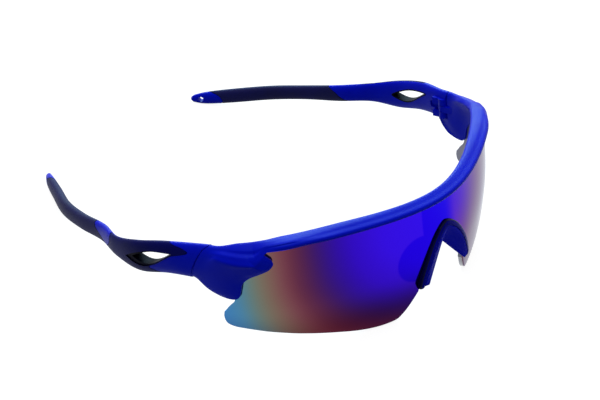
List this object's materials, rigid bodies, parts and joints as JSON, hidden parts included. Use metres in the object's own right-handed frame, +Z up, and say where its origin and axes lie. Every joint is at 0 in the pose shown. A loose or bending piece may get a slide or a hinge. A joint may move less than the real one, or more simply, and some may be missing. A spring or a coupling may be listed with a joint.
{
  "type": "wrap-around sports sunglasses",
  "caption": "Half-rim wrap-around sports sunglasses: a one-piece mirrored shield lens hangs from a slim blue brow frame with folding, slotted temples and rubber ear socks.",
  "frame": {"origin": "on the surface the glasses rest on, in the middle of their bounding box from side to side and from front to back", "axes": "+X towards the wearer's left, -Y out through the lens, +Y back along the temples, +Z up off the table"},
  "size_m": [0.144, 0.1504, 0.0418],
  "materials": {
    "frame_blue": "satin moulded nylon in deep blue",
    "mirror_lens": "mirror-coated polycarbonate, blue-violet to maroon and olive",
    "clip_black": "gloss black moulding",
    "saddle_rubber": "matte navy rubber",
    "inlay_rubber": "satin near-black navy overmould",
    "sock_rubber": "matte slate-blue rubber",
    "screw_steel": "machined steel"
  },
  "bodies": {
    "front": {"brow_frame": "frame_blue", "shield_lens": "mirror_lens", "nose_clip": "clip_black", "nose_saddle": "saddle_rubber"},
    "temple_right": {"temple_core_right": "frame_blue", "slot_inlay_right": "inlay_rubber", "ear_sock_right": "sock_rubber", "hinge_screw_right": "screw_steel"},
    "temple_left": {"temple_core_left": "frame_blue", "slot_inlay_left": "inlay_rubber", "ear_sock_left": "sock_rubber", "hinge_screw_left": "screw_steel"}
  },
  "joints": [
    {"name": "temple_left_fold", "type": "hinge", "parent": "front", "child": "temple_left", "pos_m": [0.0641, -0.02765, 0.02755], "axis": [0, 0.1771, 0.9842], "range_deg": [0, 90]},
    {"name": "temple_right_fold", "type": "hinge", "parent": "front", "child": "temple_right", "pos_m": [-0.0641, -0.02765, 0.02755], "axis": [0, -0.1771, -0.9842], "range_deg": [0, 72]}
  ]
}
